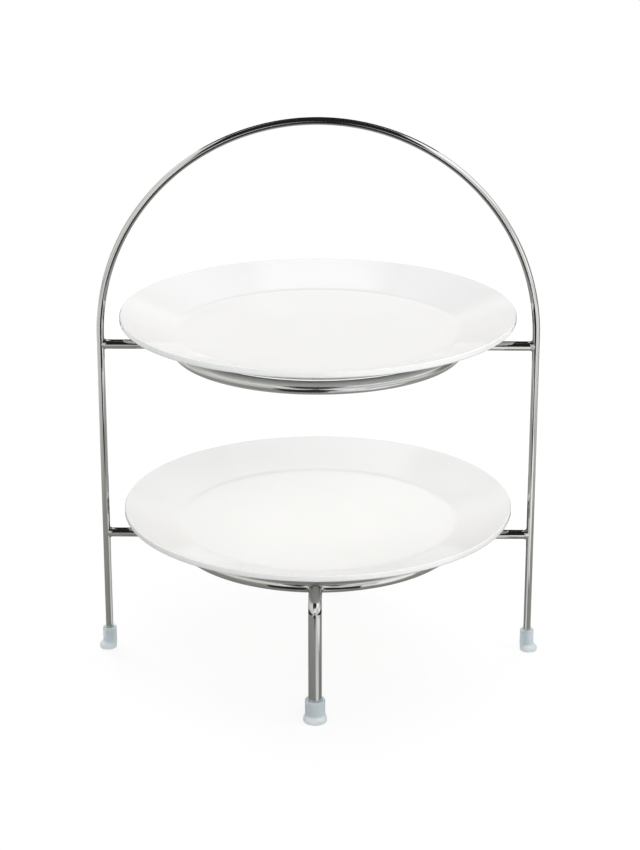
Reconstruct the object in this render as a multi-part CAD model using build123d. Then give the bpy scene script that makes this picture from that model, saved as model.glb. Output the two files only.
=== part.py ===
"""Two-tier serving stand: a welded rod frame that carries two loose porcelain plates.

Millimetres, +Z up. The origin is on the floor below the centre of the plates,
+X is the right-hand side and -Y the front.
"""
import os
from math import cos, radians, sqrt, tan

from build123d import *

# Plates
PLATE_D = 210.0          # across the rim
PLATE_LIP = 3.4          # height of the rounded lip
PLATE_LIP_FLAT = 0.5     # straight band left between the lip's two roundings
PLATE_WALL = 4.3         # height of the wall above the wire ring
PLATE_BASE = 4.2         # wall of the well's floor at its centre
RIM_SLOPE = 20.0         # slope of the rim's underside, in degrees
WELL_DISH = 1.0          # fall of the well's floor from its edge to its centre
WELL_ROUND = 8.0         # rounding where the rim meets the well
FOOT_HEIGHT = 3.6        # foot ring below the base
FOOT_WIDTH = 4.5         # foot ring from its inside to its outside
FOOT_ROUND = 1.2         # rounding of the foot ring's edges
FOOT_PLAY = 9.5          # gap between the foot ring and the wire ring, all round
SEAT_GAP = 0.3           # gap between a plate and the wire ring that carries it

# Tiers
LOWER_TIER_Z = 70.0      # axis of the lower wire ring above the floor
TIER_SPACING = 108.0     # from the lower wire ring to the upper one

# Wire rings
RING_D = 150.0           # across the rod's centreline
RING_ROD_D = 7.0

# Hoop and cross rods
HOOP_ROD_D = 4.0
HOOP_SIDE_GAP = 9.0      # gap between a plate's rim and the hoop's leg
HOOP_SPRING_RISE = 5.0   # straight leg above the axis of the upper cross rods
CROSS_ROD_D = 5.0

# Front and rear legs
LEG_ROD_D = 7.0
LEG_STUB = 6.0           # level run from the wire ring's centreline to the bend
LEG_BEND_R = 9.0
LEG_DROP = 1.5           # axis of the level run below the axis of the wire ring

# Foot caps
CAP_WALL = 1.75
CAP_HEIGHT = 12.5
CAP_FLOOR = 3.0          # plastic below the end of the rod
CAP_FLARE = 0.9          # sole beyond the cap's wall
CAP_SOLE = 2.2           # height of the sole's edge
CAP_SHOULDER = 2.0       # height of the flare between the sole and the wall
CAP_TOE = 1.1            # outward set of the sole on the hoop's caps
CAP_ROUND = 0.7          # rounding of the sole's edge
CAP_RIM_ROUND = 0.4      # rounding of the mouth
CAP_FIT = 0.05           # gap between a rod and its cap

# Welds
WELD_GAP = 0.5           # gap that a weld fills between a cross rod and the hoop
WELD_INSET = 0.2         # weld set in from the rods that it joins
WELD_LEG = 1.3           # reach of a fillet weld on a wire ring
WELD_EDGE = 0.15         # thickness of a fillet weld's edge
JOINT_GAP = 0.05         # gap between the faces of pieces that touch

FLOOR_UP = (Align.CENTER, Align.CENTER, Align.MIN)
TIERS = {"lower": LOWER_TIER_Z, "upper": LOWER_TIER_Z + TIER_SPACING}
SIDES = {"right": 0, "left": 180}
ENDS = {"front": -90, "rear": 90}

plate_r = PLATE_D / 2
ring_r = RING_D / 2
ring_rod_r = RING_ROD_D / 2
hoop_rod_r = HOOP_ROD_D / 2
cross_rod_r = CROSS_ROD_D / 2
hoop_r = plate_r + HOOP_SIDE_GAP + hoop_rod_r
cross_drop = ring_rod_r - cross_rod_r
cross_end = hoop_r - hoop_rod_r - WELD_GAP
spring_z = TIERS["upper"] - cross_drop + HOOP_SPRING_RISE
leg_r = ring_r + LEG_STUB + LEG_BEND_R


def turned(points):
    """A solid of revolution about Z from (radius, height) corners."""
    outline = Polyline(*[(r, 0, z) for r, z in points], close=True)
    return revolve(make_face(outline), Axis.Z)


def bent_rod(path, diameter):
    """A round rod along a path."""
    return sweep(Plane(origin=path @ 0, z_dir=path % 0) * Circle(diameter / 2), path=path)


def level_rod(diameter, start, end):
    """A straight rod along +X."""
    return Pos(start, 0, 0) * Rot(0, 90, 0) * Cylinder(diameter / 2, end - start, align=FLOOR_UP)


def wire_ring(rod_r):
    return Torus(ring_r, rod_r)


def plate():
    """A rimmed plate, with the wire ring's axis at height 0."""
    slope = tan(radians(RIM_SLOPE))
    rim_width = plate_r - ring_r
    seat_z = (ring_rod_r + SEAT_GAP) / cos(radians(RIM_SLOPE))
    well_z = seat_z + PLATE_WALL
    centre_z = well_z - WELL_DISH
    base_z = centre_z - PLATE_BASE
    foot_z = base_z - FOOT_HEIGHT
    foot_r = ring_r - ring_rod_r - FOOT_PLAY
    lip_z = seat_z + slope * rim_width
    lip_round = (PLATE_LIP - PLATE_LIP_FLAT) / 2
    base_r = ring_r - (seat_z - base_z) / slope
    dish_r = (ring_r ** 2 + WELL_DISH ** 2) / (2 * WELL_DISH)
    halfway = (ring_r / 2, centre_z + dish_r - sqrt(dish_r ** 2 - ring_r ** 2 / 4))

    lip_corners = [(plate_r, lip_z), (plate_r, lip_z + PLATE_LIP)]
    foot_corners = [(foot_r - FOOT_WIDTH, foot_z), (foot_r, foot_z)]
    well_corner = (ring_r, well_z)
    below = [(0, base_z), (foot_r - FOOT_WIDTH, base_z), *foot_corners, (foot_r, base_z), (base_r, base_z)]
    outline = Polyline(*below, *lip_corners, well_corner)
    floor = ThreePointArc(well_corner, halfway, (0, centre_z))
    section = make_face(outline + floor + Line((0, centre_z), (0, base_z)))
    roundings = [(corner, lip_round) for corner in lip_corners]
    roundings += [(corner, FOOT_ROUND) for corner in foot_corners]
    roundings += [(well_corner, WELL_ROUND)]
    for corner, radius in roundings:
        section = fillet(section.vertices().sort_by_distance(corner)[0], radius)
    return revolve(Plane.XZ * section, Axis.Z)


def hoop():
    """The arch with its two straight legs, standing in the caps of the side feet."""
    top = (0, 0, spring_z + hoop_r)
    left_spring = (-hoop_r, 0, spring_z)
    right_spring = (hoop_r, 0, spring_z)
    left_leg = Line((-hoop_r, 0, CAP_FLOOR), left_spring)
    arch = ThreePointArc(left_spring, top, right_spring)
    right_leg = Line(right_spring, (hoop_r, 0, CAP_FLOOR))
    return bent_rod(Wire([left_leg, arch, right_leg]), HOOP_ROD_D)


def cross_rod():
    """The rod on the right of a tier, coped to the wire ring, with the ring's axis at height 0."""
    rod = Pos(0, 0, -cross_drop) * level_rod(CROSS_ROD_D, ring_r, cross_end)
    return rod - wire_ring(ring_rod_r + JOINT_GAP)


def hoop_weld():
    """The weld between the right cross rod and the hoop's leg, with the ring's axis at height 0."""
    start_r = cross_rod_r - WELD_INSET
    end_r = hoop_rod_r - WELD_INSET
    length = WELD_GAP + hoop_rod_r
    bead = turned([(0, JOINT_GAP), (start_r, JOINT_GAP), (end_r, length), (0, length)])
    leg = Pos(hoop_r, 0, 0) * Cylinder(hoop_rod_r + JOINT_GAP, RING_D)
    return Pos(cross_end, 0, -cross_drop) * Rot(0, 90, 0) * bead - leg


def fillet_weld(rod_d, drop):
    """A fillet weld around a level rod that leaves the wire ring along +X, `drop` below its axis."""
    rod_r = rod_d / 2
    reach = ring_rod_r + WELD_LEG
    collar = turned([(0, 0), (rod_r + WELD_LEG, 0), (rod_r + WELD_EDGE, reach), (0, reach)])
    above = Pos(ring_r, 0, WELD_EDGE - ring_rod_r) * Box(RING_D, RING_D, RING_D, align=FLOOR_UP)
    weld = Pos(ring_r, 0, -drop) * Rot(0, 90, 0) * collar & above
    rod = Pos(0, 0, -drop) * level_rod(rod_d + 2 * JOINT_GAP, 0, ring_r + RING_D)
    return weld - rod - wire_ring(ring_rod_r + JOINT_GAP)


def leg():
    """The leg that leaves the lower wire ring along +X and turns down into its cap."""
    level_z = LOWER_TIER_Z - LEG_DROP
    corners = [(ring_r, 0, level_z), (leg_r, 0, level_z), (leg_r, 0, CAP_FLOOR)]
    rod = bent_rod(FilletPolyline(*corners, radius=LEG_BEND_R), LEG_ROD_D)
    return rod - Pos(0, 0, LOWER_TIER_Z) * wire_ring(ring_rod_r + JOINT_GAP)


def foot_cap(rod_d, toe):
    """A cap around a rod on the Z axis, with its sole set off by `toe` along +X."""
    wall_r = rod_d / 2 + CAP_WALL
    sole_r = wall_r + CAP_FLARE
    shoulder_z = CAP_SOLE + CAP_SHOULDER
    sole = Pos(toe, 0, 0) * Cylinder(sole_r, CAP_SOLE, align=FLOOR_UP)
    sole = fillet(sole.edges().sort_by(Axis.Z)[0], CAP_ROUND)
    flare = loft([Pos(toe, 0, CAP_SOLE) * Circle(sole_r), Pos(0, 0, shoulder_z) * Circle(wall_r)])
    wall = Pos(0, 0, shoulder_z) * Cylinder(wall_r, CAP_HEIGHT - shoulder_z, align=FLOOR_UP)
    bore = Pos(0, 0, CAP_FLOOR - CAP_FIT) * Cylinder(rod_d / 2 + CAP_FIT, CAP_HEIGHT, align=FLOOR_UP)
    cap = sole + flare + wall - bore
    return fillet(cap.edges().group_by(Axis.Z)[-1], CAP_RIM_ROUND)


def build_nodes():
    """Every piece of the stand by its name."""
    nodes = {"hoop": hoop()}
    for tier, z in TIERS.items():
        level = Pos(0, 0, z)
        nodes[f"{tier}_ring"] = level * wire_ring(ring_rod_r)
        nodes[f"{tier}_plate"] = level * plate()
        for side, turn in SIDES.items():
            place = level * Rot(0, 0, turn)
            nodes[f"{tier}_{side}_cross_rod"] = place * cross_rod()
            nodes[f"{tier}_{side}_hoop_weld"] = place * hoop_weld()
            nodes[f"{tier}_{side}_ring_weld"] = place * fillet_weld(CROSS_ROD_D, cross_drop)
    for side, turn in SIDES.items():
        nodes[f"{side}_foot_cap"] = Rot(0, 0, turn) * Pos(hoop_r, 0, 0) * foot_cap(HOOP_ROD_D, CAP_TOE)
    for end, turn in ENDS.items():
        place = Rot(0, 0, turn)
        nodes[f"{end}_leg"] = place * leg()
        nodes[f"{end}_leg_weld"] = place * Pos(0, 0, LOWER_TIER_Z) * fillet_weld(LEG_ROD_D, LEG_DROP)
        nodes[f"{end}_foot_cap"] = place * Pos(leg_r, 0, 0) * foot_cap(LEG_ROD_D, 0)
    return nodes


os.makedirs("parts", exist_ok=True)
for name, solid in build_nodes().items():
    export_step(solid, f"parts/{name}.step")
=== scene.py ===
"""Tiered serving stand: a polished rod frame that carries two loose porcelain plates.

Metres, +Z up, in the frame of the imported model. Pieces are made along +X and turned about Z to their places.
"""
from math import ceil, cos, pi, radians, sin, sqrt, tan

import bpy
from mathutils import Matrix, Vector

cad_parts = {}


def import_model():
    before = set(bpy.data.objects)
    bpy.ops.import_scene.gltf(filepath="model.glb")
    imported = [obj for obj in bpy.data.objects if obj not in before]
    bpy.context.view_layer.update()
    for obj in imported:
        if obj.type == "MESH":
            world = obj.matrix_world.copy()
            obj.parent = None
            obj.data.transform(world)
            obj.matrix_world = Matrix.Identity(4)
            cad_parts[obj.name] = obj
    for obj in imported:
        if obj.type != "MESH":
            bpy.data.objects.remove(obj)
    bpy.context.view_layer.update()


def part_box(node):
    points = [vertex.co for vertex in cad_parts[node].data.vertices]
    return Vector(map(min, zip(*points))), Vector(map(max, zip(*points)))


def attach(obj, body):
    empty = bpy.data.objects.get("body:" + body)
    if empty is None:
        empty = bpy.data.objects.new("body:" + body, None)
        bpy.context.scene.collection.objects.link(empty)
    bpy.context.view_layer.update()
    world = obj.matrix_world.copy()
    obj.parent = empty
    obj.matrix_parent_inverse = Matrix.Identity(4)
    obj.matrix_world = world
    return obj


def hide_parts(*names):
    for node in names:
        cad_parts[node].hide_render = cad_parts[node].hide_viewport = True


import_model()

MM = 0.001
TIERS = ("lower", "upper")
SIDES = {"right": 0.0, "left": pi}
ENDS = {"front": -pi / 2, "rear": pi / 2}
X_AXIS, Y_AXIS, Z_AXIS = Vector((1, 0, 0)), Vector((0, 1, 0)), Vector((0, 0, 1))

# Meshes
SHARP_ANGLE = radians(40)      # edges that turn by more stay sharp
ARC_STEP = radians(9)          # step round a rounded corner

# Rods
ROD_SIDES = 48
ROD_STEP = 1.5 * MM            # along a bend
ROD_CHAMFER = 0.35 * MM
LEG_BEND_R = 9.0 * MM

# Weld beads
BEAD_STEPS = 7                 # across a bead
BEAD_SIDES = 72                # along a bead, round its rod
BEAD_LIFT = 0.10 * MM          # bead above the rods where it ends
BEAD_ROOT = 0.6 * MM           # inner edge of a bead below the rods' surface
BEAD_LEAST = 0.08              # share of its reach that a bead keeps where it dies out
RIPPLE = 0.07 * MM
RIPPLE_PITCH = 0.9 * MM
RING_BEAD = 1.25 * MM          # reach of a bead on a wire ring
HOOP_BEAD = 0.75 * MM          # reach of a bead on the hoop

# Foot caps
CAP_SIDES = 72
CAP_WALL = 1.75 * MM
CAP_FLOOR = 3.0 * MM           # plastic below the end of the rod
CAP_FLARE = 0.9 * MM           # sole beyond the cap's wall
CAP_SOLE = 2.2 * MM            # height of the sole's edge
CAP_SHOULDER = 2.0 * MM        # height of the flare between the sole and the wall
CAP_TOE = 1.1 * MM             # outward set of the sole on the hoop's caps
CAP_ROUND = 0.7 * MM           # rounding of the sole's lower edge
CAP_RIM_ROUND = 0.4 * MM       # rounding of the mouth
CAP_LEAD_IN = 0.45 * MM        # widening of the bore at the mouth
CAP_FIT = 0.05 * MM            # gap between a rod and its cap
CAP_HUB = 0.5                  # share of the sole's radius where its rows start

# Plates
PLATE_SIDES = 256
PLATE_LIP = 3.4 * MM           # height of the lip
PLATE_LIP_EDGE = 0.6 * MM      # rounding of the lip's upper edge
PLATE_LIP_ROUND = 1.3 * MM     # rounding of the lip's lower edge
PLATE_WALL = 4.3 * MM          # height of the wall above the wire ring
PLATE_BASE = 4.2 * MM          # wall of the well's floor at its centre
RIM_SLOPE = radians(20)
WELL_DISH = 1.0 * MM           # fall of the well's floor from its edge to its centre
WELL_ROUND = 14.0 * MM         # rounding where the rim meets the well
WELL_STEPS = 24                # rows across the well's floor
FOOT_HEIGHT = 3.6 * MM         # foot ring below the base
FOOT_WIDTH = 4.5 * MM          # foot ring from its inside to its outside
FOOT_ROUND = 1.2 * MM          # rounding of the foot ring's edges
FOOT_FILLET = 0.9 * MM         # rounding where the foot ring meets the base
FOOT_PLAY = 9.5 * MM           # gap between the foot ring and the wire ring, all round
CLAY_BAND = FOOT_ROUND / 3     # height of the bare clay on the foot ring
BASE_HUB = 2 * FOOT_WIDTH      # radius where the rows of the base start
BACK_ROUND = 8.0 * MM          # rounding where the base meets the rim's underside
SEAT_GAP = 0.3 * MM            # gap between a plate and the wire ring that carries it

# Materials, with a darker and a lighter tone for each
STEEL_TONES = ((0.53, 0.53, 0.515), (0.66, 0.66, 0.645))
WELD_TONES = ((0.50, 0.485, 0.45), (0.64, 0.63, 0.605))
GLAZE_TONES = ((0.893, 0.89, 0.88), (0.918, 0.915, 0.905))
CLAY_TONES = ((0.74, 0.71, 0.65), (0.84, 0.82, 0.77))
PLASTIC_TONES = ((0.78, 0.855, 0.90), (0.86, 0.915, 0.945))
NOISE_RANGE = (0.3, 0.7)       # values of a noise that get the darker and the lighter tone
STEEL_LINES = (45, 1600, 1)    # drawn lines per metre, along a rod and round it
STEEL_CLOUDS = 0.4             # share of clouds in the unevenness of the polish
STEEL_POLISH = (0.75, 1.35)    # least and greatest roughness, as shares of the roughness asked for
RISING, FALLING = (0.0, 1.0), (1.0, 0.0)
MIX_COLOURS = (6, 7)           # colour inputs of a Mix node
MIX_COLOUR_OUT = 2             # colour output of a Mix node

# Camera
CAMERA_PLACE = (0.0204, -1.1766, 0.5458)
CAMERA_DOWN = 19.38            # degrees below the horizon
CAMERA_TURN = 0.94             # degrees to the left
CAMERA_LENS = 98.0             # mm, on a sensor 36 mm along the picture's height

# Studio in the reflections. East, north and height are parts of a unit direction.
WALL_STRENGTH = 1.6
WALL_BLUR = (-0.03, 0.03)      # soft edge of the opening in front and of the ceiling
DARK = (0.015, 0.014, 0.014)
LEFT_WALL = (0.62, 0.61, 0.595)
LEFT_EDGE = (0.85, 0.84, 0.82)
RIGHT_WALL = (0.97, 0.985, 1.0)
RIGHT_FOOT = (0.52, 0.53, 0.54)
RIGHT_FOOT_TOP = (0.29, 0.41)  # soft upper edge of the right wall's foot
SIDES_EAST = (-0.6, 0.4)       # from the left wall's tone to the right wall's
LEFT_STOPS = ((0.0, LEFT_WALL), (0.1, LEFT_WALL), (0.16, LEFT_EDGE), (0.3, LEFT_EDGE))
BACK_NORTH = (0.0, 0.25)       # from the side walls to the back wall
BACK_WALL = ((0.28, (0.44, 0.41, 0.395)), (0.38, (0.58, 0.555, 0.54)), (0.6, (0.80, 0.81, 0.825)))
CEILING = (0.87, 0.95)         # height of the dark ceiling's edge, in front and behind
OPENING_EAST = -0.045          # middle of the dark opening in front
OPENING_HALF = (0.21, 0.50)    # half its width, at the horizon and at its widest
OPENING_TOP = 0.55             # height where it is widest
GAP_EAST = -0.12               # middle of the dim gap in the back wall
GAP_HALF = (0.18, 0.34)        # half its width, inside and outside its soft edge
GAP_FOOT = (0.38, 0.52)        # its soft lower edge
GAP_TOP = (0.69, 0.74)         # its soft upper edge
GAP_DIM = 0.35                 # share of the wall's light in it
SLIT_EAST = -0.02              # middle of the dark slit in the gap
SLIT_HALF = (0.08, 0.13)       # half its width, inside and outside its soft edge

# Light on the stand and the camera's background
DOME = ((0.0, (0.68, 0.70, 0.72)), (1.0, (0.63, 0.645, 0.655)))
WHITE = (1, 1, 1, 1)
LAMP_COLOUR = (1.0, 0.985, 0.955)
LAMPS = {
    "right_lamp": dict(place=(1.2, -0.5, 0.90), aim_z=0.12, size=(1.0, 0.8), power=4.5),
    "front_lamp": dict(place=(0.35, -1.3, 0.85), aim_z=0.14, size=(1.2, 0.8), power=6.4),
    "rear_left_lamp": dict(place=(-0.8, 1.15, 0.85), aim_z=0.12, size=(1.0, 0.8), power=9.4),
    "rear_right_lamp": dict(place=(0.8, 1.15, 0.85), aim_z=0.12, size=(1.0, 0.8), power=5.0),
}

# Floor. Stops are distances from the middle of the stand.
FLOOR_HALF = 8.0
# Floor as it lights the stand from below: dark under the stand, a painted shade that dims the plates'
# undersides
FLOOR_LIGHTING = ((0.1, (0.25, 0.235, 0.205)), (0.3, (0.64, 0.655, 0.67)))
# Floor as the metal shows it: grey and darker near the stand, a painted shade, turning pale further out
FLOOR_MIRRORED = ((0.3, (0.36, 0.375, 0.35)), (0.6, (0.8, 0.8, 0.79)), (1.0, (0.95, 0.95, 0.94)))
FLOOR_SHADED = (0.22, 0.22, 0.22, 1)   # the part of the camera's white that takes a shadow
FLOOR_GLOW = 0.80                      # the part of it that glows
FLOOR_WHITE = ((0.3, (0, 0, 0)), (0.8, (1, 1, 1)))

# Cards that only reflections show: painted reflections, bright and dark
FLAG = 0.015                   # brightness of a black flag, a painted dark reflection
SHADE = 0.03                   # brightness of a dark card by the rings, a painted shade in their reflections
LEVEL_CARDS = {
    # Painted dark reflection: a black card just above the floor in front of the stand
    "front_flag": dict(z=2.0 * MM, brightness=FLAG, corners=(
        (-0.03, -0.25), (-0.13, -0.33), (-0.17, -0.45), (-0.06, -0.75), (-0.05, -7.5),
        (0.04, -7.5), (0.05, -0.75), (0.11, -0.45), (0.09, -0.33), (0.03, -0.25))),
    # Painted highlight: a glowing card just above the floor, to the right of the front leg
    "front_streak": dict(z=1.0 * MM, brightness=0.9, corners=(
        (0.004, -0.10), (0.03, -0.235), (0.15, -0.28), (0.155, -0.165), (0.03, -0.105))),
    # Painted highlight: a glowing card just above the floor, in front of the hoop's right leg
    "right_leg_highlight": dict(z=1.5 * MM, brightness=1.2, soft=0.1, corners=(
        (0.095, -0.10), (0.085, -0.62), (0.32, -0.62), (0.162, -0.15), (0.165, -0.07))),
    # Painted shade: a dark card in front of the stand, below the upper ring, dark in the ring's reflection
    "ring_shade": dict(z=120.0 * MM, brightness=SHADE, corners=(
        (-0.035, -0.10), (-0.13, -0.24), (0.035, -0.24), (0.012, -0.10))),
    # Painted shades: dark cards below the lower ring, to the left and right of the front leg, dark in its
    # reflection
    "left_shade": dict(z=60.0 * MM, brightness=SHADE, corners=(
        (-0.006, -0.084), (-0.03, -0.08), (-0.055, -0.112), (-0.009, -0.112))),
    "right_shade": dict(z=60.0 * MM, brightness=SHADE, corners=(
        (0.006, -0.084), (0.009, -0.112), (0.05, -0.112), (0.028, -0.08))),
}
UPRIGHT_CARDS = {
    # Painted highlight: a glowing card in front of the front leg's bend
    "bend_card": dict(start=(0.022, -0.16), end=(-0.02, -0.16), foot=0.068, top=0.098, brightness=1.3),
    # Painted highlight on the lower ring: a glowing card to the right and in front of it
    "ring_card": dict(start=(0.175, -0.075), end=(0.128, -0.165), foot=0.015, top=0.087,
                      brightness=1.4, soft=0.15),
    # Painted highlight on the arch: a glowing card beside its right shoulder
    "shoulder_card": dict(start=(0.17, 0.005), end=(0.17, -0.1), foot=0.195, top=0.265,
                          brightness=1.45, soft=0.6),
    # Painted highlights on the hoop's legs: glowing cards between them, facing the left one and the right one
    "left_streak": dict(start=(-0.085, 0.012), end=(-0.085, -0.022), foot=0.0, top=0.068, brightness=0.9),
    "right_streak": dict(start=(0.1068, -0.0306), end=(0.0892, -0.0174), foot=0.0, top=0.068, brightness=0.9),
    # A dim card far to the right, from the middle of the stand to behind it: a painted reflection
    "right_card": dict(start=(0.45, 0.6), end=(0.45, -0.05), foot=0.0, top=0.34, brightness=0.25, soft=0.4),
}
CROWN_FLAG_BACK = 30.0 * MM    # behind the hoop
CROWN_FLAG_TURN = 0.6          # radians to each side of the arch's top
CROWN_FLAG_OUT = 120.0 * MM    # outer edge beyond the hoop
CROWN_FLAG_IN = 10.0 * MM      # inner edge inside the hoop
COVERS = {"lower": (0.4, 0.5), "upper": (0.09, 0.42)}   # brightness in front and behind, darker than the plates: a painted shade in the metal's reflections
COVER_TURN = 0.24              # radians from the sides forward to where the covers meet
COVER_LIFT = 0.5 * MM          # above the plate
COVER_INSET = 1.0 * MM         # inside the plate's edge
ROD_FLAG_BACK = 6.5 * MM       # behind the axis of the cross rods
ROD_FLAG_UNDER = 7.0 * MM      # reach under the plate
ROD_FLAG_PAST = 0.5 * MM       # gap beside the plate
ROD_FLAG_CLEAR = 1.0 * MM      # gap beside the hoop's leg
ROD_FLAG_HALF = 12.0 * MM      # below and above the axis of the wire ring
ROD_FLAG_TOP = 30.0 * MM       # top of the part beside the plate, above that axis


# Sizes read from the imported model

hoop_low, hoop_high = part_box("hoop")
hoop_rod_r = hoop_high.y
hoop_r = hoop_high.x - hoop_rod_r
spring_z = hoop_high.z - hoop_rod_r - hoop_r
ring_low, ring_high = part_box("lower_ring")
ring_rod_r = (ring_high.z - ring_low.z) / 2
ring_r = ring_high.x - ring_rod_r
tier_z = {tier: sum(corner.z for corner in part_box(f"{tier}_ring")) / 2 for tier in TIERS}
cross_low, cross_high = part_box("lower_right_cross_rod")
cross_rod_r = cross_high.y
cross_drop = tier_z["lower"] - (cross_low.z + cross_high.z) / 2
leg_low, leg_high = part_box("front_leg")
leg_rod_r = leg_high.x
leg_drop = tier_z["lower"] - (leg_high.z - leg_rod_r)
leg_reach = -leg_low.y - leg_rod_r
plate_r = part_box("lower_plate")[1].x
cap_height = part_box("front_foot_cap")[1].z


# Meshes and objects

def turned(rows, angle):
    """Rows of points turned about the Z axis."""
    spin = Matrix.Rotation(angle, 3, "Z")
    return [[spin @ p for p in row] for row in rows]


def turn_steps(count):
    """Angles of equal steps round a circle."""
    return [2 * pi * i / count for i in range(count)]


def running_length(points):
    """The length of a line through points, up to each of them."""
    total = [0.0]
    for a, b in zip(points, points[1:]):
        total.append(total[-1] + (b - a).length)
    return total


def skin(name, rows, loop=False):
    """A closed mesh over rows of points.

    Each row closes on itself. The last row joins the first in a loop, or else both are filled.
    Its UV map is in metres: along the rows, then around them.
    """
    count = len(rows[0])
    along = running_length([row[0] for row in rows] + ([rows[0][0]] if loop else []))
    widest = max(rows, key=lambda row: (row[0] - row[count // 2]).length)
    around = running_length(widest + [widest[0]])
    verts = [p for row in rows for p in row]
    faces, uvs = [], []
    for a in range(len(rows) if loop else len(rows) - 1):
        b = (a + 1) % len(rows)
        for j in range(count):
            k = (j + 1) % count
            faces.append((a * count + j, a * count + k, b * count + k, b * count + j))
            for row, column in ((a, j), (a, j + 1), (a + 1, j + 1), (a + 1, j)):
                uvs.append((along[row], around[column]))
    if not loop:
        for end, order in ((0, -1), (len(rows) - 1, 1)):
            verts.append(sum(rows[end], Vector()) / count)
            for j in range(count):
                pair = (end * count + j, end * count + (j + 1) % count)[::order]
                faces.append((*pair, len(verts) - 1))
                uvs += [(along[end], around[j]), (along[end], around[j + 1]), (along[end], around[j])]
    mesh = bpy.data.meshes.new(name)
    mesh.from_pydata(verts, [], faces)
    layer = mesh.uv_layers.new(name="surface")
    layer.data.foreach_set("uv", [x for uv in uvs for x in uv])
    mesh.shade_smooth()
    mesh.set_sharp_from_angle(angle=SHARP_ANGLE)
    mesh.validate()
    return mesh


def add(name, data):
    """A new object in the scene."""
    shown = bpy.data.objects.new(name, data)
    bpy.context.scene.collection.objects.link(shown)
    return shown


def piece(mesh, materials, body, cad_node):
    """Show a mesh in place of a CAD node, riding on its body."""
    shown = add(mesh.name, mesh)
    for material in materials:
        mesh.materials.append(material)
    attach(shown, body)
    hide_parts(cad_node)


def steel_piece(name, rows, material, cad_node, angle=0.0, loop=False):
    """Show a steel piece of the frame, turned to its place."""
    piece(skin(name, turned(rows, angle), loop), [material], "frame", cad_node)


def arc(centre, start, end, radius, first, second):
    """Points on an arc, its angles measured from `first` towards `second`."""
    count = max(2, ceil(abs(end - start) * radius / ROD_STEP))
    angles = [start + (end - start) * i / count for i in range(count + 1)]
    return [centre + radius * (cos(t) * first + sin(t) * second) for t in angles]


def rod_rows(points, across, radius, loop=False, ends=(True, True)):
    """Rows round a rod along points in a plane square to `across`, with its ends chamfered."""
    rows = []
    for i, point in enumerate(points):
        ahead = points[(i + 1) % len(points)] if loop or i + 1 < len(points) else point
        behind = points[i - 1] if loop or i else point
        tangent = (ahead - behind).normalized()
        side = tangent.cross(across)
        rings = [(0.0, radius)]
        if not loop and i == 0 and ends[0]:
            rings = [(0.0, radius - ROD_CHAMFER), (ROD_CHAMFER, radius)]
        if not loop and i == len(points) - 1 and ends[1]:
            rings = [(-ROD_CHAMFER, radius), (0.0, radius - ROD_CHAMFER)]
        for shift, r in rings:
            place = point + shift * tangent
            rows.append([place + r * (cos(t) * across + sin(t) * side) for t in turn_steps(ROD_SIDES)])
    return rows


def rounded(corners):
    """An outline of (r, z) points from corners (r, z, radius), each rounded by an arc."""
    outline = []
    for i, (r, z, radius) in enumerate(corners):
        here = Vector((r, z))
        if not radius:
            outline.append(here)
            continue
        back = (Vector(corners[i - 1][:2]) - here).normalized()
        on = (Vector(corners[i + 1][:2]) - here).normalized()
        half = back.angle(on) / 2
        centre = here + (back + on).normalized() * radius / sin(half)
        start = here + back * radius / tan(half) - centre
        sweep = start.angle_signed(here + on * radius / tan(half) - centre)
        count = max(3, ceil(abs(sweep) / ARC_STEP))
        for step in range(count + 1):
            outline.append(centre + Matrix.Rotation(-sweep * step / count, 2) @ start)
    return outline


def lathe_rows(outline, sides):
    """Rows round the Z axis from an outline of (r, z) points."""
    return [[Vector((r * cos(t), r * sin(t), z)) for t in turn_steps(sides)] for r, z in outline]


# Shader helpers

def bare_tree(block):
    """The emptied node tree of a material or a world."""
    block.use_nodes = True
    block.node_tree.nodes.clear()
    return block.node_tree


def new_material(name):
    """A material with a Principled shader, as (material, node tree, shader)."""
    material = bpy.data.materials.new(name)
    material.use_nodes = True
    return material, material.node_tree, material.node_tree.nodes["Principled BSDF"]


def set_inputs(tree, made, inputs):
    """Set a node's inputs, by name or number, to constants or to other nodes' outputs."""
    for key, value in inputs.items():
        if isinstance(value, bpy.types.NodeSocket):
            tree.links.new(value, made.inputs[key])
        else:
            made.inputs[key].default_value = value


def node(tree, kind, inputs=None, **settings):
    """Add a node with its properties and inputs."""
    made = tree.nodes.new(kind)
    for key, value in settings.items():
        setattr(made, key, value)
    set_inputs(tree, made, inputs or {})
    return made


def noise(tree, vector, scale, detail=3.0):
    """Noise of about `scale` spots per metre."""
    inputs = {"Vector": vector, "Scale": scale, "Detail": detail}
    return node(tree, "ShaderNodeTexNoise", inputs).outputs["Fac"]


def stretched(tree, vector, scale):
    """Coordinates multiplied by a scale for each axis."""
    return node(tree, "ShaderNodeMapping", {"Vector": vector, "Scale": scale}).outputs["Vector"]


def maths(tree, operation, *values):
    """A calculation with numbers or other nodes' values."""
    return node(tree, "ShaderNodeMath", dict(enumerate(values)), operation=operation).outputs["Value"]


def remap(tree, value, source, target):
    """A value carried from one range of numbers to another."""
    ranges = dict(zip(("From Min", "From Max", "To Min", "To Max"), (*source, *target)))
    return node(tree, "ShaderNodeMapRange", {"Value": value, **ranges}).outputs["Result"]


def between(tree, factor, first, second):
    """A value between two others."""
    inputs = {"Factor": factor, "A": first, "B": second}
    return node(tree, "ShaderNodeMix", inputs, data_type="FLOAT").outputs["Result"]


def blend(tree, factor, *colours):
    """A mix of two colours or other nodes' colours."""
    inputs = {"Factor": factor, **dict(zip(MIX_COLOURS, colours))}
    return node(tree, "ShaderNodeMix", inputs, data_type="RGBA").outputs[MIX_COLOUR_OUT]


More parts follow.
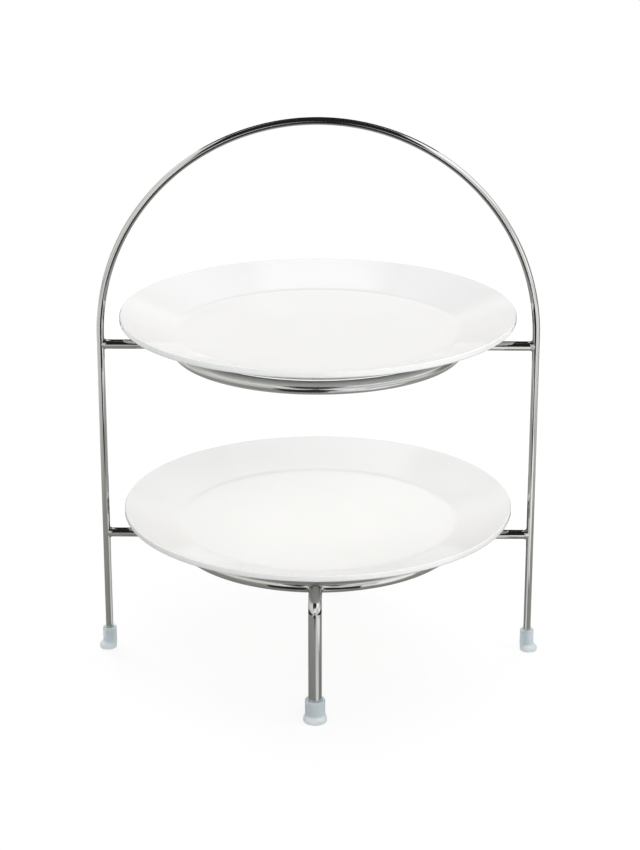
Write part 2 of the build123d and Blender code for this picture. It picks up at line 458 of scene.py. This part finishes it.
def ramp(tree, value, *stops):
    """A colour ramp through (place, colour) stops."""
    made = node(tree, "ShaderNodeValToRGB", {"Fac": value})
    elements = made.color_ramp.elements
    while len(elements) < len(stops):
        elements.new(1.0)
    for element, (place, colour) in zip(elements, stops):
        element.position = place
        element.color = (*colour, 1)
    return made.outputs["Color"]


def spread(tree, value, target):
    """A noise value spread over a range of numbers."""
    return remap(tree, value, NOISE_RANGE, target)


def mottled(tree, value, tones):
    """A noise value as a colour between two tones."""
    return ramp(tree, value, *zip(NOISE_RANGE, tones))


def bump(tree, height, strength, distance, under=None):
    """A normal with fine relief, over other relief where that is given."""
    inputs = {"Height": height, "Strength": strength, "Distance": distance}
    if under:
        inputs["Normal"] = under
    return node(tree, "ShaderNodeBump", inputs).outputs["Normal"]


def surface_uv(tree):
    """Places on a piece's skin, in metres along and around it."""
    return node(tree, "ShaderNodeTexCoord").outputs["UV"]


def place_in_piece(tree):
    """Places in a piece's own space."""
    return node(tree, "ShaderNodeTexCoord").outputs["Object"]


def diffuse(tree, colour):
    return node(tree, "ShaderNodeBsdfDiffuse", {"Color": colour}).outputs["BSDF"]


def emission(tree, strength):
    return node(tree, "ShaderNodeEmission", {"Strength": strength}).outputs["Emission"]


def background(tree, colour, strength=1.0):
    return node(tree, "ShaderNodeBackground", {"Color": colour, "Strength": strength}).outputs["Background"]


def mix(tree, factor, first, second):
    """A mix of two shaders."""
    return node(tree, "ShaderNodeMixShader", {"Fac": factor, 1: first, 2: second}).outputs["Shader"]


def by_ray(tree, seen, mirrored, lighting):
    """One shader for camera and transmission rays, one for glossy rays and one for all other rays."""
    rays = node(tree, "ShaderNodeLightPath").outputs
    direct = maths(tree, "MAXIMUM", rays["Is Camera Ray"], rays["Is Transmission Ray"])
    return mix(tree, direct, mix(tree, rays["Is Glossy Ray"], lighting, mirrored), seen)


# Materials

def steel(name, roughness, grain):
    """Drawn and polished stainless rod: fine lines along it, `grain` deep, and a slightly uneven polish."""
    material, tree, shader = new_material(name)
    lines = noise(tree, stretched(tree, surface_uv(tree), STEEL_LINES), scale=1.0)
    clouds = noise(tree, place_in_piece(tree), scale=160.0)
    polish = [roughness * share for share in STEEL_POLISH]
    set_inputs(tree, shader, {
        "Base Color": mottled(tree, lines, STEEL_TONES),
        "Roughness": spread(tree, between(tree, STEEL_CLOUDS, lines, clouds), polish),
        "Normal": bump(tree, lines, strength=grain, distance=0.02 * MM),
        "Metallic": 1.0})
    return material


def weld_steel():
    """Polished weld metal: rougher than the rods, with a faint straw tint."""
    material, tree, shader = new_material("weld_steel")
    grain = noise(tree, place_in_piece(tree), scale=900.0)
    set_inputs(tree, shader, {
        "Base Color": mottled(tree, grain, WELD_TONES),
        "Roughness": spread(tree, grain, (0.16, 0.32)),
        "Normal": bump(tree, grain, strength=0.25, distance=0.05 * MM),
        "Metallic": 1.0})
    return material


def porcelain():
    """White glaze: a soft waviness and the faintest cloud in its colour."""
    material, tree, shader = new_material("white_glaze")
    place = place_in_piece(tree)
    clouds = noise(tree, place, scale=22.0)
    pores = noise(tree, place, scale=1400.0, detail=1.0)
    waves = bump(tree, noise(tree, place, scale=35.0, detail=1.0), strength=0.08, distance=0.3 * MM)
    set_inputs(tree, shader, {
        "Base Color": mottled(tree, clouds, GLAZE_TONES),
        "Roughness": spread(tree, pores, (0.035, 0.065)),
        "Normal": bump(tree, pores, strength=0.02, distance=0.02 * MM, under=waves),
        "IOR": 1.5})
    return material


def bisque():
    """Bare fired clay on the foot ring, where the glaze is wiped off."""
    material, tree, shader = new_material("bare_clay")
    grain = noise(tree, place_in_piece(tree), scale=1800.0)
    set_inputs(tree, shader, {
        "Base Color": mottled(tree, grain, CLAY_TONES),
        "Roughness": spread(tree, grain, (0.6, 0.85)),
        "Normal": bump(tree, grain, strength=0.3, distance=0.06 * MM)})
    return material


def cloudy_plastic():
    """Soft, almost clear plastic that has gone milky."""
    material, tree, shader = new_material("cloudy_plastic")
    place = place_in_piece(tree)
    clouds = noise(tree, place, scale=260.0)
    grain = noise(tree, place, scale=2500.0, detail=1.0)
    set_inputs(tree, shader, {
        "Base Color": mottled(tree, clouds, PLASTIC_TONES),
        "Roughness": spread(tree, grain, (0.32, 0.5)),
        "Normal": bump(tree, grain, strength=0.15, distance=0.03 * MM),
        "IOR": 1.2,
        "Transmission Weight": 0.5})
    return material


# Frame

def hoop_rows():
    """The arch with its two straight legs."""
    centre = Vector((0, 0, spring_z))
    left_foot = Vector((-hoop_r, 0, hoop_low.z))
    right_foot = Vector((hoop_r, 0, hoop_low.z))
    arch = arc(centre, pi, 0.0, hoop_r, X_AXIS, Z_AXIS)
    return rod_rows([left_foot, *arch, right_foot], Y_AXIS, hoop_rod_r)


def ring_rows(height):
    """The wire ring of a tier at that height."""
    whole = arc(Vector((0, 0, height)), 0.0, 2 * pi, ring_r, X_AXIS, Y_AXIS)
    return rod_rows(whole[:-1], Z_AXIS, ring_rod_r, loop=True)


def ring_surface_x(y, z):
    """Where a line along +X leaves the wire ring, `z` from the ring's axis."""
    inside = max(ring_rod_r ** 2 - z ** 2, 0.0)
    return sqrt((ring_r + sqrt(inside)) ** 2 - y ** 2)


def coped_row(rod_r, drop, height):
    """The end of a level rod, shaped to the outside of the wire ring."""
    row = []
    for t in turn_steps(ROD_SIDES):
        y, z = rod_r * cos(t), rod_r * sin(t) - drop
        row.append(Vector((ring_surface_x(y, z), y, height + z)))
    return row


def cross_rod_rows(height):
    """The rod from the wire ring at that height out to the hoop's leg."""
    start = Vector((ring_r + 2 * ring_rod_r, 0, height - cross_drop))
    end = Vector((cross_high.x, 0, height - cross_drop))
    straight = rod_rows([start, end], Y_AXIS, cross_rod_r, ends=(False, True))
    return [coped_row(cross_rod_r, cross_drop, height), *straight]


def leg_rows(height):
    """The leg from the wire ring at that height round its bend to the floor of its cap."""
    level = height - leg_drop
    bend_centre = Vector((leg_reach - LEG_BEND_R, 0, level - LEG_BEND_R))
    bend = arc(bend_centre, pi / 2, 0.0, LEG_BEND_R, X_AXIS, Z_AXIS)
    foot = Vector((leg_reach, 0, leg_low.z))
    rows = rod_rows([*bend, foot], Y_AXIS, leg_rod_r, ends=(False, True))
    return [coped_row(leg_rod_r, leg_drop, height), *rows]


def bead_rows(edges):
    """Rows of a weld bead from (far edge, corner, near edge, root) points at each step round it.

    The bead is hollow between its edges and rippled along its length. Its root closes it inside the joint.
    """
    corner_loop = running_length([corner for _, corner, _, _ in edges])
    ripples = max(1, round(corner_loop[-1] / RIPPLE_PITCH))
    rows = [[] for _ in range(BEAD_STEPS + 2)]
    for (far, corner, near, root), length in zip(edges, corner_loop):
        wave = RIPPLE * cos(2 * pi * ripples * length / corner_loop[-1])
        outward = (far + near - 2 * corner).normalized()
        hollow = corner + outward * (RIPPLE + wave)
        for step in range(BEAD_STEPS + 1):
            s = step / BEAD_STEPS
            rows[step].append((1 - s) ** 2 * far + 2 * s * (1 - s) * hollow + s ** 2 * near)
        rows[-1].append(root)
    return rows


def ring_bead(rod_r, drop, height):
    """The fillet where a level rod leaves the wire ring, dying out under the ring."""
    edges = []
    for t in turn_steps(BEAD_SIDES):
        round_rod = Vector((0, cos(t), sin(t)))
        z = rod_r * sin(t) - drop
        reach = RING_BEAD * min(1.0, max(BEAD_LEAST, (z + ring_rod_r) / (2 * RING_BEAD)))
        axis = Vector((0, 0, height - drop))
        corner = axis + round_rod * rod_r
        corner.x = ring_surface_x(corner.y, z)
        near = corner + X_AXIS * reach + round_rod * BEAD_LIFT
        far = axis + round_rod * (rod_r + reach)
        far_z = max(far.z - height, BEAD_LIFT - ring_rod_r)
        far.z = height + far_z
        far.x = ring_surface_x(far.y, far_z) + BEAD_LIFT
        root = corner - X_AXIS * BEAD_ROOT - round_rod * BEAD_ROOT
        edges.append((far, corner, near, root))
    return bead_rows(edges)


def hoop_bead(height):
    """The fillet between the end of a cross rod and the hoop's leg."""
    edges = []
    axis = Vector((0, 0, height - cross_drop))
    wide = (hoop_rod_r - BEAD_LIFT) / hoop_rod_r
    for t in turn_steps(BEAD_SIDES):
        round_rod = Vector((0, cos(t), sin(t)))
        far = axis + Vector((0, wide * hoop_rod_r * cos(t), (cross_rod_r + HOOP_BEAD) * sin(t)))
        far.x = hoop_r - sqrt(hoop_rod_r ** 2 - far.y ** 2) - BEAD_LIFT * abs(sin(t))
        near = axis + round_rod * (cross_rod_r + BEAD_LIFT / 2)
        near.x = cross_high.x - HOOP_BEAD
        corner = axis + Vector((0, (far.y + near.y) / 2, cross_rod_r * sin(t)))
        corner.x = min(far.x, cross_high.x)
        root = axis + round_rod * (cross_rod_r - BEAD_ROOT) + X_AXIS * cross_high.x
        root.y *= wide
        edges.append((far, corner, near, root))
    return bead_rows(edges)


def cap_rows(rod_r, toe):
    """A foot cap round a rod on the Z axis, its sole set off by `toe` along +X."""
    wall_r = rod_r + CAP_WALL
    sole_r = wall_r + CAP_FLARE
    bore_r = rod_r + CAP_FIT
    shoulder = CAP_SOLE + CAP_SHOULDER
    corners = [
        (CAP_HUB * sole_r, 0.0, 0), (sole_r, 0.0, CAP_ROUND), (sole_r, CAP_SOLE, CAP_ROUND / 2),
        (wall_r, shoulder, CAP_SHOULDER), (wall_r, cap_height, CAP_RIM_ROUND),
        (bore_r + CAP_LEAD_IN, cap_height, CAP_RIM_ROUND), (bore_r, cap_height - 2 * CAP_LEAD_IN, 0),
        (bore_r, CAP_FLOOR - CAP_FIT, 0)]
    rows = []
    for r, z in rounded(corners):
        outside = r > bore_r + CAP_LEAD_IN
        lean = min(1.0, max(0.0, (shoulder - z) / CAP_SHOULDER)) if outside or z < CAP_FLOOR / 2 else 0.0
        shift = X_AXIS * toe * lean
        rows.append([Vector((r * cos(t), r * sin(t), z)) + shift for t in turn_steps(CAP_SIDES)])
    return rows


# Plates

def plate_outline(height):
    """A plate's section, from its base round to its well, and the height of its foot.

    The plate lies in a wire ring at `height`.
    """
    slope = tan(RIM_SLOPE)
    seat_z = height + (ring_rod_r + SEAT_GAP) / cos(RIM_SLOPE)
    well_z = seat_z + PLATE_WALL
    centre_z = well_z - WELL_DISH
    base_z = centre_z - PLATE_BASE
    foot_z = base_z - FOOT_HEIGHT
    foot_r = ring_r - ring_rod_r - FOOT_PLAY
    inner_r = foot_r - FOOT_WIDTH
    lip_z = seat_z + slope * (plate_r - ring_r)
    base_r = ring_r - (seat_z - base_z) / slope
    below = [
        (BASE_HUB, base_z, 0), (inner_r, base_z, FOOT_FILLET), (inner_r, foot_z, FOOT_ROUND),
        (foot_r, foot_z, FOOT_ROUND), (foot_r, base_z, FOOT_FILLET), (base_r, base_z, BACK_ROUND)]
    lip = [(plate_r, lip_z, PLATE_LIP_ROUND), (plate_r, lip_z + PLATE_LIP, PLATE_LIP_EDGE)]
    towards = (0.0, centre_z - WELL_DISH, 0)
    outline = rounded([*below, *lip, (ring_r, well_z, WELL_ROUND), towards])[:-1]
    edge_r, edge_z = outline[-1]
    for i in range(1, WELL_STEPS):
        r = edge_r * (1 - i / WELL_STEPS)
        outline.append(Vector((r, centre_z + (edge_z - centre_z) * (r / edge_r) ** 2)))
    return outline, foot_z


def show_plate(tier, glaze, clay):
    """Show a plate that is glazed all over, apart from the foot ring's edge."""
    outline, foot_z = plate_outline(tier_z[tier])
    mesh = skin(f"{tier}_dish", lathe_rows(outline, PLATE_SIDES))
    piece(mesh, [glaze, clay], f"{tier}_tier", f"{tier}_plate")
    for face in mesh.polygons:
        if face.center.z < foot_z + CLAY_BAND:
            face.material_index = 1


# Studio

def lamp(name, place, aim_z, size, power):
    """A soft area lamp that points at the stand's axis and doesn't show in reflections."""
    light = bpy.data.lights.new(name, "AREA")
    light.shape = "RECTANGLE"
    light.size, light.size_y = size
    light.energy = power
    light.color = LAMP_COLOUR
    shown = add(name, light)
    shown.location = place
    shown.rotation_euler = (Vector((0, 0, aim_z)) - Vector(place)).to_track_quat("-Z", "Y").to_euler()
    shown.visible_glossy = False


def card(name, corners, brightness, soft=0.0):
    """A grey card that shows only in reflections, a painted reflection, and only from the side where its
    corners run anticlockwise.

    Over the outer part `soft` of its width it fades out towards its edge.
    """
    material = bpy.data.materials.new(name)
    tree = bare_tree(material)
    clear = node(tree, "ShaderNodeBsdfTransparent").outputs["BSDF"]
    fade = node(tree, "ShaderNodeAttribute", attribute_name="fade").outputs["Fac"]
    behind = node(tree, "ShaderNodeNewGeometry").outputs["Backfacing"]
    front = maths(tree, "SUBTRACT", fade, maths(tree, "MULTIPLY", fade, behind))
    sided = mix(tree, front, clear, emission(tree, brightness))
    node(tree, "ShaderNodeOutputMaterial", {"Surface": sided})
    count = len(corners)
    inner = [Vector(p) for p in corners]
    edge, border = [], []
    if soft:
        edge = inner
        middle = sum(edge, Vector()) / count
        inner = [p.lerp(middle, soft) for p in edge]
        border = [(i, (i + 1) % count, count + (i + 1) % count, count + i) for i in range(count)]
    face = tuple(range(len(edge), len(edge) + count))
    mesh = bpy.data.meshes.new(name)
    mesh.from_pydata(edge + inner, [], [face, *border])
    fades = mesh.attributes.new("fade", "FLOAT", "POINT")
    fades.data.foreach_set("value", [0.0] * len(edge) + [1.0] * count)
    mesh.materials.append(material)
    shown = add(name, mesh)
    for kind in ("camera", "diffuse", "transmission", "volume_scatter", "shadow"):
        setattr(shown, f"visible_{kind}", False)


def level_card(name, z, corners, brightness, soft=0.0):
    """A level card with (x, y) corners."""
    card(name, [(x, y, z) for x, y in corners], brightness, soft)


def upright_card(name, start, end, foot, top, brightness, soft=0.0):
    """An upright card from one (x, y) place to another."""
    card(name, [(*start, foot), (*end, foot), (*end, top), (*start, top)], brightness, soft)


def crown_flag():
    """A black band behind the top of the arch, seen only in reflections: a painted dark reflection on the
    arch.
    """
    centre = Vector((0, CROWN_FLAG_BACK, spring_z))
    right, left = pi / 2 - CROWN_FLAG_TURN, pi / 2 + CROWN_FLAG_TURN
    outside = arc(centre, right, left, hoop_r + CROWN_FLAG_OUT, X_AXIS, Z_AXIS)
    inside = arc(centre, left, right, hoop_r - CROWN_FLAG_IN, X_AXIS, Z_AXIS)
    card("crown_flag", outside + inside, FLAG)


def plate_covers():
    """Grey covers that the metal shows in place of the plates, a front and a rear one over each: painted shade
    on the plates as the metal reflects them.
    """
    for tier, (front, rear) in COVERS.items():
        centre = Vector((0, 0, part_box(f"{tier}_plate")[1].z + COVER_LIFT))
        reach = plate_r - COVER_INSET
        front_edge = arc(centre, pi + COVER_TURN, 2 * pi - COVER_TURN, reach, X_AXIS, Y_AXIS)
        rear_edge = arc(centre, -COVER_TURN, pi + COVER_TURN, reach, X_AXIS, Y_AXIS)
        card(f"{tier}_front_cover", front_edge, front)
        card(f"{tier}_rear_cover", rear_edge, rear)


def rod_flags():
    """Black flags behind the cross rods, from under the plates to the hoop's legs: painted dark reflections on
    the cross rods.
    """
    under = plate_r - ROD_FLAG_UNDER
    past = plate_r + ROD_FLAG_PAST
    end = hoop_r - hoop_rod_r - ROD_FLAG_CLEAR
    for tier in TIERS:
        foot = tier_z[tier] - ROD_FLAG_HALF
        step = tier_z[tier] + ROD_FLAG_HALF
        top = tier_z[tier] + ROD_FLAG_TOP
        corners = [(under, foot), (end, foot), (end, top), (past, top), (past, step), (under, step)]
        card(f"{tier}_right_flag", [(x, ROD_FLAG_BACK, z) for x, z in corners], FLAG)
        card(f"{tier}_left_flag", [(-x, ROD_FLAG_BACK, z) for x, z in reversed(corners)], FLAG)


def floor():
    """A wide pale floor, white to the camera, that keeps a faint shadow."""
    far = FLOOR_HALF
    mesh = bpy.data.meshes.new("floor")
    mesh.from_pydata([(-far, -far, 0), (far, -far, 0), (far, far, 0), (-far, far, 0)], [], [(0, 1, 2, 3)])
    material = bpy.data.materials.new("floor")
    tree = bare_tree(material)
    length = node(tree, "ShaderNodeVectorMath", {"Vector": place_in_piece(tree)}, operation="LENGTH")
    away = length.outputs["Value"]
    halves = {0: diffuse(tree, FLOOR_SHADED), 1: emission(tree, FLOOR_GLOW)}
    shaded = node(tree, "ShaderNodeAddShader", halves).outputs["Shader"]
    seen = mix(tree, ramp(tree, away, *FLOOR_WHITE), shaded, emission(tree, 1.0))
    # As the metal shows it, the floor is darker near the stand: a painted shade
    mirrored = diffuse(tree, ramp(tree, away, *FLOOR_MIRRORED))
    # As it lights the stand, the floor is dark under it: a painted shade
    lighting = diffuse(tree, ramp(tree, away, *FLOOR_LIGHTING))
    node(tree, "ShaderNodeOutputMaterial", {"Surface": by_ray(tree, seen, mirrored, lighting)})
    mesh.materials.append(material)
    add("floor", mesh)


def world():
    """White to the camera, an even soft light on the stand, and a studio in the reflections.

    The studio has a left wall, a right wall with a dimmer foot, and a back wall with a dim gap, which has a
    dark slit in it. Its ceiling is dark, and so is the opening in front, which widens upwards.
    """
    made = bpy.data.worlds.new("studio")
    bpy.context.scene.world = made
    tree = bare_tree(made)
    direction = node(tree, "ShaderNodeTexCoord").outputs["Generated"]
    parts = node(tree, "ShaderNodeSeparateXYZ", {"Vector": direction}).outputs
    east, north, height = parts["X"], parts["Y"], parts["Z"]

    def aside(middle):
        """How far a direction lies to the east or west of a place."""
        return maths(tree, "ABSOLUTE", maths(tree, "SUBTRACT", east, middle))

    opening = remap(tree, height, (0.0, OPENING_TOP), OPENING_HALF)
    past_opening = maths(tree, "SUBTRACT", aside(OPENING_EAST), opening)
    in_front = remap(tree, past_opening, WALL_BLUR, RISING)
    past_gap = remap(tree, aside(GAP_EAST), GAP_HALF, (GAP_DIM, 1.0))
    past_slit = remap(tree, aside(SLIT_EAST), SLIT_HALF, RISING)
    under_gap = remap(tree, height, GAP_FOOT, FALLING)
    over_gap = remap(tree, height, GAP_TOP, RISING)
    beside_gap = maths(tree, "MINIMUM", past_gap, past_slit)
    in_back = maths(tree, "MAXIMUM", beside_gap, maths(tree, "MAXIMUM", under_gap, over_gap))
    behind = remap(tree, north, BACK_NORTH, RISING)
    ceiling = remap(tree, north, BACK_NORTH, CEILING)
    below = remap(tree, maths(tree, "SUBTRACT", height, ceiling), WALL_BLUR, FALLING)
    lit = maths(tree, "MULTIPLY", between(tree, behind, in_front, in_back), below)

    across = remap(tree, east, SIDES_EAST, RISING)
    low_sides = ramp(tree, across, *LEFT_STOPS, (1.0, RIGHT_FOOT))
    high_sides = ramp(tree, across, *LEFT_STOPS, (1.0, RIGHT_WALL))
    sides = blend(tree, remap(tree, height, RIGHT_FOOT_TOP, RISING), low_sides, high_sides)
    walls = blend(tree, behind, sides, ramp(tree, height, *BACK_WALL))
    mirrored = background(tree, blend(tree, lit, (*DARK, 1), walls), WALL_STRENGTH)
    lighting = background(tree, ramp(tree, height, *DOME))
    seen = background(tree, WHITE)
    node(tree, "ShaderNodeOutputWorld", {"Surface": by_ray(tree, seen, mirrored, lighting)})


def camera():
    """The photo's viewpoint."""
    data = bpy.data.cameras.new("camera")
    data.lens = CAMERA_LENS
    shown = add("camera", data)
    shown.location = CAMERA_PLACE
    shown.rotation_euler = (radians(90 - CAMERA_DOWN), 0, radians(CAMERA_TURN))
    bpy.context.scene.camera = shown


# The stand in its studio

def show_stand():
    """Every piece of the stand, in place of its CAD node."""
    bright = steel("bright_steel", roughness=0.045, grain=0.05)
    satin = steel("satin_steel", roughness=0.14, grain=0.14)
    weld = weld_steel()
    glaze = porcelain()
    clay = bisque()
    plastic = cloudy_plastic()
    steel_piece("handle_hoop", hoop_rows(), bright, "hoop")
    for tier, height in tier_z.items():
        steel_piece(f"{tier}_wire_ring", ring_rows(height), satin, f"{tier}_ring", loop=True)
        show_plate(tier, glaze, clay)
        ring_weld = ring_bead(cross_rod_r, cross_drop, height)
        hoop_weld = hoop_bead(height)
        for side, angle in SIDES.items():
            name = f"{tier}_{side}"
            steel_piece(f"{name}_rod", cross_rod_rows(height), bright, f"{name}_cross_rod", angle)
            steel_piece(f"{name}_ring_bead", ring_weld, weld, f"{name}_ring_weld", angle, loop=True)
            steel_piece(f"{name}_hoop_bead", hoop_weld, weld, f"{name}_hoop_weld", angle, loop=True)
    leg_weld = ring_bead(leg_rod_r, leg_drop, tier_z["lower"])
    for end, angle in ENDS.items():
        steel_piece(f"{end}_bent_leg", leg_rows(tier_z["lower"]), satin, f"{end}_leg", angle)
        steel_piece(f"{end}_leg_bead", leg_weld, weld, f"{end}_leg_weld", angle, loop=True)
    side_feet = (SIDES, hoop_r, hoop_rod_r, CAP_TOE)
    end_feet = (ENDS, leg_reach, leg_rod_r, 0.0)
    for places, reach, rod_r, toe in (side_feet, end_feet):
        rows = [[p + X_AXIS * reach for p in row] for row in cap_rows(rod_r, toe)]
        for place, angle in places.items():
            mesh = skin(f"{place}_soft_foot", turned(rows, angle))
            piece(mesh, [plastic], "frame", f"{place}_foot_cap")


def show_studio():
    """The cards, the lamps, the floor, the world and the camera."""
    for name, values in LEVEL_CARDS.items():
        level_card(name, **values)
    for name, values in UPRIGHT_CARDS.items():
        upright_card(name, **values)
    crown_flag()
    plate_covers()
    rod_flags()
    for name, values in LAMPS.items():
        lamp(name, **values)
    floor()
    world()
    camera()
    bpy.context.scene.view_settings.view_transform = "Standard"


show_stand()
show_studio()
